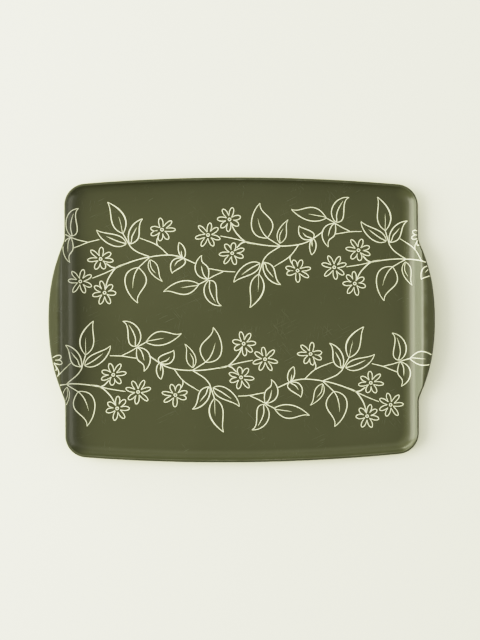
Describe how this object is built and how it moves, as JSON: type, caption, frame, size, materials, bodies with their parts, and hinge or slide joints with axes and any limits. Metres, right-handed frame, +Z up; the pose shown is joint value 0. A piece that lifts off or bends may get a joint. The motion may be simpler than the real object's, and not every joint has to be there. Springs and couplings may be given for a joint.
{
  "type": "serving tray",
  "caption": "Shallow rectangular serving tray with bowed long sides, rounded corners and a tab handle at each end, in olive melamine with a line-art floral decor foil.",
  "frame": {"origin": "under the middle of the tray, on the surface that it stands on", "axes": "+X along the tray towards a handle, +Y across it, +Z up"},
  "size_m": [0.45, 0.3322, 0.0208],
  "materials": {
    "body_melamine": "satin",
    "foil_melamine": "satin",
    "print_ink": "satin"
  },
  "bodies": {
    "root": {"tray_body": "body_melamine", "decor_foil": "foil_melamine"}
  },
  "joints": []
}
